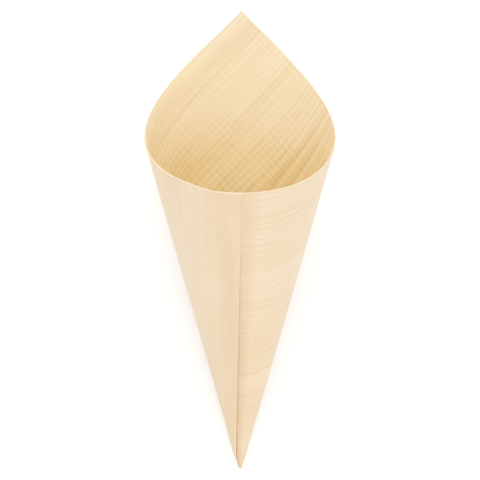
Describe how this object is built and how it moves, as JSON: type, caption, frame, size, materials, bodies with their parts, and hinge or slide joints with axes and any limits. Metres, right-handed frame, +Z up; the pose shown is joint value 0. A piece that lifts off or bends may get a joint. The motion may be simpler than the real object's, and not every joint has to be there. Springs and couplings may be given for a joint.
{
  "type": "rolled wood veneer food cone",
  "caption": "Pointed disposable cone rolled from a square sheet of pale wood veneer and glued along a lap, to hold fries, snacks or finger food.",
  "frame": {"origin": "on the surface that the cone lies on, midway along its length and its width", "axes": "+Y from the tip towards the point of the mouth, along the line that the cone rests on; +Z up, through the seam; +X to the right of the seam, seen from above with the tip nearest"},
  "size_m": [0.07, 0.1798, 0.0622],
  "materials": {
    "veneer": "bare sliced veneer, satin, with fine straight grain and no coating"
  },
  "bodies": {
    "root": {"veneer_cone": "veneer"}
  },
  "joints": []
}
